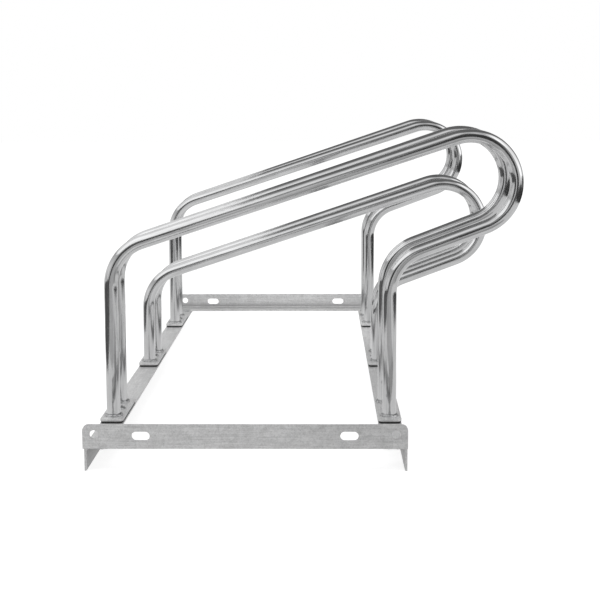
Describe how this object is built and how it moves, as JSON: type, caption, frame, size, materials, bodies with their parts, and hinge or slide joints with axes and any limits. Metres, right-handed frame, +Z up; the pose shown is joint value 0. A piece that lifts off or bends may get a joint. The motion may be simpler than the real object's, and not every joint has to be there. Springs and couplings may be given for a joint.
{
  "type": "floor bike rack",
  "caption": "Galvanised steel floor rack: pairs of bent round tubes at alternating heights hold bicycle wheels above a frame of angle rails and crossbars.",
  "frame": {"origin": "on the ground, under the middle of the rack's overall box", "axes": "+Z up; +Y along the rails, from the front crossbar to the rear one; +X across the rails, towards the round ends of the tubes, where the wheels go in"},
  "size_m": [0.545, 1.03, 0.4101],
  "materials": {
    "tube_zinc": "bright smooth zinc coating on drawn tube, shiny with long reflections",
    "frame_zinc": "hot-dip galvanised, satin grey with faint mottling",
    "weld_zinc": "zinc-coated weld bead, rough satin",
    "fastener_zinc": "zinc-plated steel, satin",
    "pad_rubber": "black rubber sheet, matt"
  },
  "bodies": {
    "root": {"carriage_bolt_front_left": "fastener_zinc", "carriage_bolt_front_right": "fastener_zinc", "carriage_bolt_middle_left": "fastener_zinc", "carriage_bolt_middle_right": "fastener_zinc", "carriage_bolt_rear_left": "fastener_zinc", "carriage_bolt_rear_right": "fastener_zinc", "crossbar_front": "frame_zinc", "crossbar_rear": "frame_zinc", "foot_pad_front_left": "pad_rubber", "foot_pad_front_right": "pad_rubber", "foot_pad_middle_left": "pad_rubber", "foot_pad_middle_right": "pad_rubber", "foot_pad_rear_left": "pad_rubber", "foot_pad_rear_right": "pad_rubber", "foot_plate_front_left": "frame_zinc", "foot_plate_front_right": "frame_zinc", "foot_plate_middle_left": "frame_zinc", "foot_plate_middle_right": "frame_zinc", "foot_plate_rear_left": "frame_zinc", "foot_plate_rear_right": "frame_zinc", "foot_welds_front_left": "weld_zinc", "foot_welds_front_right": "weld_zinc", "foot_welds_middle_left": "weld_zinc", "foot_welds_middle_right": "weld_zinc", "foot_welds_rear_left": "weld_zinc", "foot_welds_rear_right": "weld_zinc", "frame_welds_front_left": "weld_zinc", "frame_welds_front_right": "weld_zinc", "frame_welds_rear_left": "weld_zinc", "frame_welds_rear_right": "weld_zinc", "front_pair_front_tube": "tube_zinc", "front_pair_rear_tube": "tube_zinc", "middle_pair_front_tube": "tube_zinc", "middle_pair_rear_tube": "tube_zinc", "nut_front_left": "fastener_zinc", "nut_front_right": "fastener_zinc", "nut_middle_left": "fastener_zinc", "nut_middle_right": "fastener_zinc", "nut_rear_left": "fastener_zinc", "nut_rear_right": "fastener_zinc", "rear_pair_front_tube": "tube_zinc", "rear_pair_rear_tube": "tube_zinc", "side_rail_left": "frame_zinc", "side_rail_right": "frame_zinc", "washer_front_left": "fastener_zinc", "washer_front_right": "fastener_zinc", "washer_middle_left": "fastener_zinc", "washer_middle_right": "fastener_zinc", "washer_rear_left": "fastener_zinc", "washer_rear_right": "fastener_zinc"}
  },
  "joints": []
}
